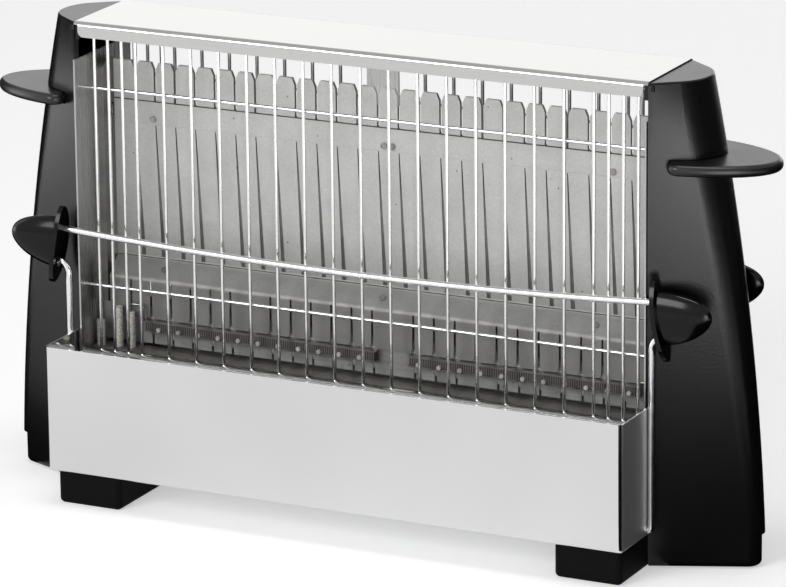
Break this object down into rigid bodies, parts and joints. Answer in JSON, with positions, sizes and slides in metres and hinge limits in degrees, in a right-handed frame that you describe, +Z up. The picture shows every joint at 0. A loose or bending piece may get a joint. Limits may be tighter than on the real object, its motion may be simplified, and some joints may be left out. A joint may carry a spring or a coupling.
{
  "type": "drop side toaster",
  "caption": "Slim two-sided electric toaster: wire guards over central reflectors, swinging bails with knobs, trays, and black end mouldings with handles.",
  "frame": {"origin": "on the surface it stands on, midway between the two ends and midway between the two sides", "axes": "+X along the toaster towards the right end, -Y towards the front, +Z up"},
  "size_m": [0.4132, 0.1194, 0.2356],
  "materials": {
    "black_moulding": "fine matt texture",
    "handle_moulding": "satin",
    "knob_moulding": "gloss",
    "foot_moulding": "satin",
    "polished_sheet": "polished",
    "cover_sheet": "pale satin",
    "bright_plate": "bright",
    "dark_steel": "heat darkened",
    "aluminised_sheet": "mottled",
    "plated_base": "plated",
    "chrome_wire": "bright plated",
    "element_strip": "dark glazed",
    "white_ceramic": "unglazed",
    "braided_sleeve": "woven glass",
    "lead_metal": "plated"
  },
  "bodies": {
    "root": {"base_end_left": "black_moulding", "base_end_right": "black_moulding", "bottom_plate": "plated_base", "ceramic_beads_front": "white_ceramic", "ceramic_beads_rear": "white_ceramic", "cheek_screws": "lead_metal", "cover_strap": "bright_plate", "end_cheek_left": "black_moulding", "end_cheek_right": "black_moulding", "end_post_left": "dark_steel", "end_post_right": "dark_steel", "foot_bar_left": "foot_moulding", "foot_bar_right": "foot_moulding", "foot_screws": "lead_metal", "guard_front": "chrome_wire", "guard_rear": "chrome_wire", "heat_shield": "aluminised_sheet", "heater_rail_front_left": "dark_steel", "heater_rail_front_right": "dark_steel", "heater_rail_rear_left": "dark_steel", "heater_rail_rear_right": "dark_steel", "heating_strip_front_left": "element_strip", "heating_strip_front_right": "element_strip", "heating_strip_rear_left": "element_strip", "heating_strip_rear_right": "element_strip", "lead_sleeves": "braided_sleeve", "lead_wires": "lead_metal", "lower_reflector_front": "aluminised_sheet", "lower_reflector_rear": "aluminised_sheet", "reflector_front": "aluminised_sheet", "reflector_rear": "aluminised_sheet", "reflector_rivets": "lead_metal", "shoulder_front": "polished_sheet", "shoulder_rear": "polished_sheet", "side_handle_left": "handle_moulding", "side_handle_right": "handle_moulding", "side_plate_left": "bright_plate", "side_plate_right": "bright_plate", "supply_inlet": "foot_moulding", "terminal_block": "white_ceramic", "top_cover": "cover_sheet", "tray_front": "polished_sheet", "tray_rear": "polished_sheet"},
    "bail_front": {"bail_front": "chrome_wire", "knob_front_left": "knob_moulding", "knob_front_right": "knob_moulding"},
    "bail_rear": {"bail_rear": "chrome_wire", "knob_rear_left": "knob_moulding", "knob_rear_right": "knob_moulding"}
  },
  "joints": [
    {"name": "bail_front_hinge", "type": "hinge", "parent": "root", "child": "bail_front", "pos_m": [0, -0.03, 0.0208], "axis": [1, 0, 0], "range_deg": [0, 88]},
    {"name": "bail_rear_hinge", "type": "hinge", "parent": "root", "child": "bail_rear", "pos_m": [0, 0.03, 0.0208], "axis": [-1, 0, 0], "range_deg": [0, 88]}
  ]
}
